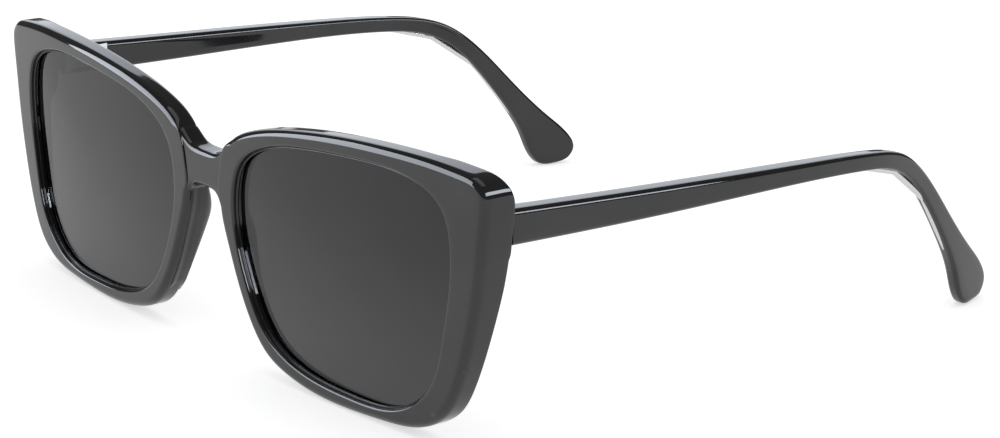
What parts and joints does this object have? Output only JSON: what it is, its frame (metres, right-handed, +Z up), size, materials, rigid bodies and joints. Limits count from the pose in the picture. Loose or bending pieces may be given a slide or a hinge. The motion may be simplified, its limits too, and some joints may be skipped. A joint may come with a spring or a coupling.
{
  "type": "cat eye sunglasses",
  "caption": "Glossy dark acetate cat eye sunglasses with large tinted lenses, moulded nose pads and wide temples that fold on barrel hinges.",
  "frame": {"origin": "centre of the bottom of the bounding box: the glasses stand open on the bottoms of the rims and the tips of the temples", "axes": "+X to the wearer's left, +Z up, the front of the glasses faces -Y and the temples run towards +Y"},
  "size_m": [0.1466, 0.1279, 0.0457],
  "materials": {
    "acetate": "polished dark acetate",
    "lens_tint": "smooth dark grey tint",
    "hinge_steel": "satin nickel"
  },
  "bodies": {
    "front": {"frame_front": "acetate", "lens_left": "lens_tint", "lens_right": "lens_tint", "nose_pad_left": "acetate", "nose_pad_right": "acetate", "front_hinge_left": "hinge_steel", "front_hinge_right": "hinge_steel", "front_rivets_left": "hinge_steel", "front_rivets_right": "hinge_steel", "hinge_screw_left": "hinge_steel", "hinge_screw_right": "hinge_steel"},
    "left_arm": {"temple_left": "acetate", "temple_core_left": "hinge_steel", "temple_hinge_left": "hinge_steel", "temple_rivets_left": "hinge_steel"},
    "right_arm": {"temple_right": "acetate", "temple_core_right": "hinge_steel", "temple_hinge_right": "hinge_steel", "temple_rivets_right": "hinge_steel"}
  },
  "joints": [
    {"name": "left_temple_fold", "type": "hinge", "parent": "front", "child": "left_arm", "pos_m": [0.0669, -0.0516, 0.0367], "axis": [0, 0, 1], "range_deg": [0, 87]},
    {"name": "right_temple_fold", "type": "hinge", "parent": "front", "child": "right_arm", "pos_m": [-0.0669, -0.0516, 0.0367], "axis": [0, 0, -1], "range_deg": [0, 81]}
  ]
}
